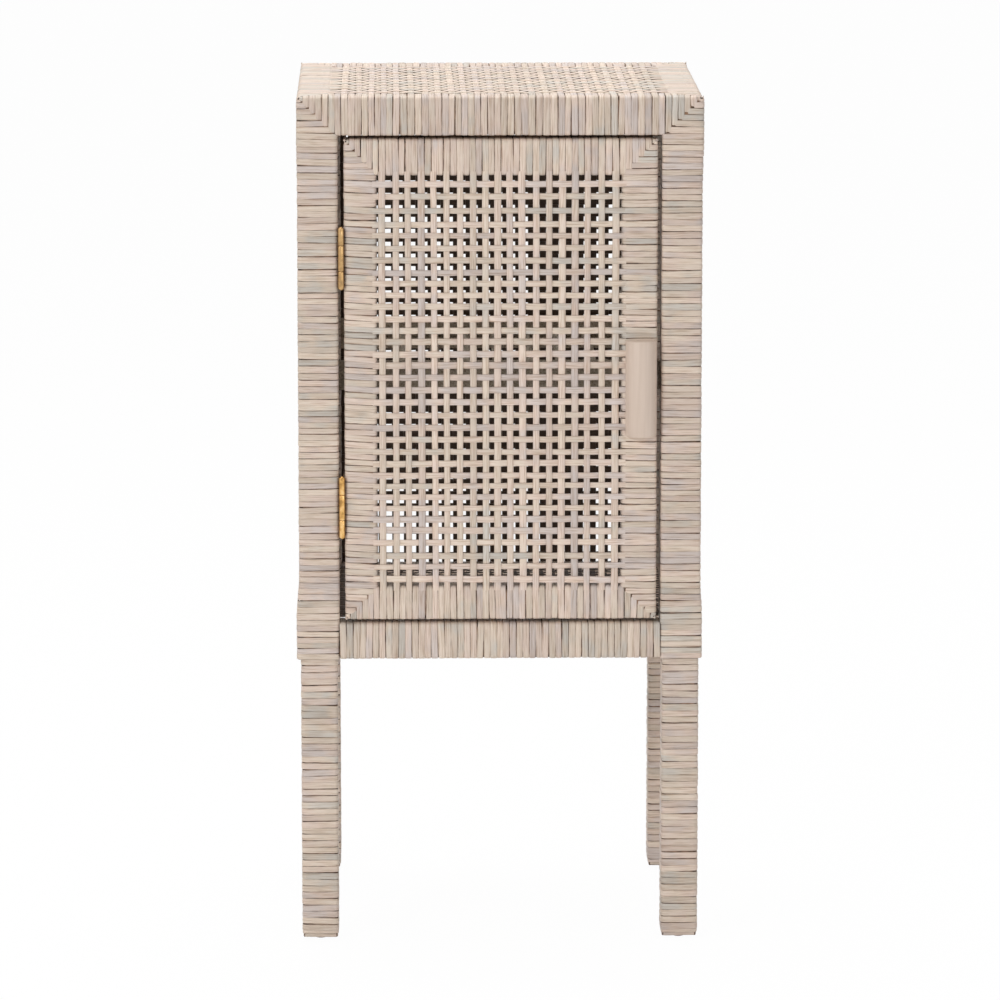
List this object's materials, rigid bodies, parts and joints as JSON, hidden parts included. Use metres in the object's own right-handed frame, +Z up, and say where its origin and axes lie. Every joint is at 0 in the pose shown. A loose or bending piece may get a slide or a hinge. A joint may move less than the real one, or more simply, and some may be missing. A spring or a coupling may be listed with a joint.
{
  "type": "side table with door",
  "caption": "Tall narrow side table with a strip-wound frame, open woven panels and top, one hinged woven door, and a rod shelf inside.",
  "frame": {"origin": "on the floor, under the middle of the table's box", "axes": "+Z up, the door's face looks along -Y, +X to the right of someone who faces the door"},
  "size_m": [0.335, 0.3016, 0.7135],
  "materials": {
    "frame_wood": "dark stained solid wood",
    "shelf_rod": "washed rattan rod, satin",
    "rattan_winding": "flat rattan strip, whitewashed, matt",
    "rattan_strand": "flat rattan strip, whitewashed, matt",
    "brass": "aged satin brass",
    "steel": "nickel plated steel",
    "magnet": "sintered bar magnet, nickel plated",
    "pull": "whitewashed half-round wood, satin"
  },
  "bodies": {
    "cabinet": {"front_left_post": "frame_wood", "front_right_post": "frame_wood", "back_left_post": "frame_wood", "back_right_post": "frame_wood", "top_front_rail": "frame_wood", "top_back_rail": "frame_wood", "top_left_rail": "frame_wood", "top_right_rail": "frame_wood", "lower_front_rail": "frame_wood", "lower_back_rail": "frame_wood", "lower_left_rail": "frame_wood", "lower_right_rail": "frame_wood", "shelf_front_rail": "frame_wood", "shelf_back_rail": "frame_wood", "shelf_rods": "shelf_rod", "front_left_post_binding": "rattan_winding", "front_right_post_binding": "rattan_winding", "back_left_post_binding": "rattan_winding", "back_right_post_binding": "rattan_winding", "top_front_rail_binding": "rattan_winding", "top_back_rail_binding": "rattan_winding", "top_left_rail_binding": "rattan_winding", "top_right_rail_binding": "rattan_winding", "lower_front_rail_binding": "rattan_winding", "lower_back_rail_binding": "rattan_winding", "lower_left_rail_binding": "rattan_winding", "lower_right_rail_binding": "rattan_winding", "back_weave_uprights": "rattan_strand", "back_weave_crossings": "rattan_strand", "left_weave_uprights": "rattan_strand", "left_weave_crossings": "rattan_strand", "right_weave_uprights": "rattan_strand", "right_weave_crossings": "rattan_strand", "top_weave_ribs": "rattan_strand", "top_weave_crossings": "rattan_strand", "floor_weave_ribs": "rattan_strand", "floor_weave_crossings": "rattan_strand", "foot_glides": "steel", "upper_hinge_frame_leaf": "brass", "lower_hinge_frame_leaf": "brass", "upper_hinge_pin": "brass", "lower_hinge_pin": "brass", "hinge_frame_screws": "brass", "magnetic_catch": "magnet"},
    "door": {"door_left_stile": "frame_wood", "door_right_stile": "frame_wood", "door_top_rail": "frame_wood", "door_bottom_rail": "frame_wood", "door_left_stile_binding": "rattan_winding", "door_right_stile_binding": "rattan_winding", "door_top_rail_binding": "rattan_winding", "door_bottom_rail_binding": "rattan_winding", "door_weave_uprights": "rattan_strand", "door_weave_crossings": "rattan_strand", "upper_hinge_door_leaf": "brass", "lower_hinge_door_leaf": "brass", "hinge_door_screws": "brass", "door_pull": "pull", "pull_screws": "steel", "catch_plate": "steel"}
  },
  "joints": [
    {"name": "door_swing", "type": "hinge", "parent": "cabinet", "child": "door", "pos_m": [-0.13125, -0.13915, 0.47525], "axis": [0, 0, -1], "range_deg": [0, 170]}
  ]
}
